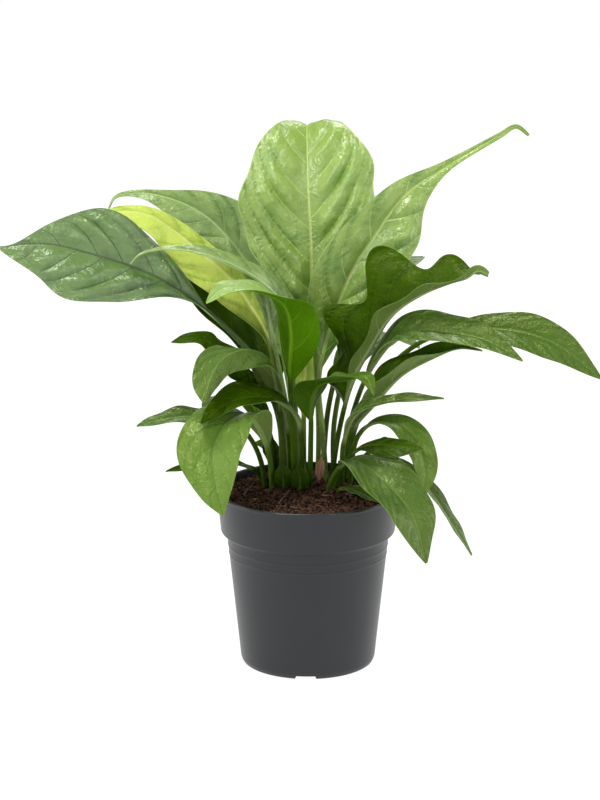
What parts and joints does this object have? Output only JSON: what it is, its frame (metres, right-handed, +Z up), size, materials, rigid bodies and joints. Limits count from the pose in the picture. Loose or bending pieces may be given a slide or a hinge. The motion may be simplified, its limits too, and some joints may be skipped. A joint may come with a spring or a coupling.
{
  "type": "potted anthurium",
  "caption": "Leafy potted anthurium: long-stalked, pointed leathery leaves fanning out of a round tapered nursery pot filled with dark peat soil.",
  "frame": {"origin": "centre of the pot's foot, on the surface that the pot stands on", "axes": "+Z up along the pot's axis; the side seen in the picture faces -Y, and +X is to that view's right"},
  "size_m": [0.5994, 0.3304, 0.545],
  "materials": {
    "pot_plastic": "anthracite polypropylene, satin, with fine moulded rings",
    "potting_soil": "damp dark peat with fibres and crumbs",
    "leaf_fresh": "fresh green living leaf, leathery, satin, with paler veins",
    "leaf_middle": "mid green living leaf, leathery, satin, with paler veins",
    "leaf_dark": "deep green living leaf, leathery, satin, with paler veins",
    "leaf_lime": "yellow-green ageing living leaf, leathery, satin, with paler veins",
    "sheath_paper": "dry brown papery sheath"
  },
  "bodies": {
    "root": {"pot": "pot_plastic", "soil": "potting_soil", "leaf_arch": "leaf_middle", "leaf_back_high": "leaf_lime", "leaf_back_left": "leaf_middle", "leaf_back_low_left": "leaf_dark", "leaf_back_low_right": "leaf_dark", "leaf_back_right": "leaf_middle", "leaf_back_upper_left": "leaf_middle", "leaf_back_upper_right": "leaf_middle", "leaf_behind_left": "leaf_dark", "leaf_centre": "leaf_dark", "leaf_crinkled": "leaf_dark", "leaf_crumpled": "leaf_middle", "leaf_curled": "leaf_dark", "leaf_dark_left": "leaf_dark", "leaf_dark_right": "leaf_dark", "leaf_droop_left": "leaf_fresh", "leaf_droop_right": "leaf_middle", "leaf_edge_on": "leaf_middle", "leaf_far_left": "leaf_middle", "leaf_far_right": "leaf_middle", "leaf_flat_left": "leaf_middle", "leaf_folding": "leaf_fresh", "leaf_grey_back": "leaf_dark", "leaf_lime": "leaf_lime", "leaf_low_arch": "leaf_middle", "leaf_low_left": "leaf_dark", "leaf_nodding": "leaf_middle", "leaf_right_back": "leaf_middle", "leaf_right_low": "leaf_middle", "leaf_soil_right": "leaf_dark", "leaf_strap": "leaf_middle", "leaf_tall": "leaf_fresh", "leaf_upper_left": "leaf_middle", "leaf_upright": "leaf_fresh", "sheath_left": "leaf_dark", "sheath_papery": "sheath_paper", "sheath_right": "leaf_dark"}
  },
  "joints": []
}
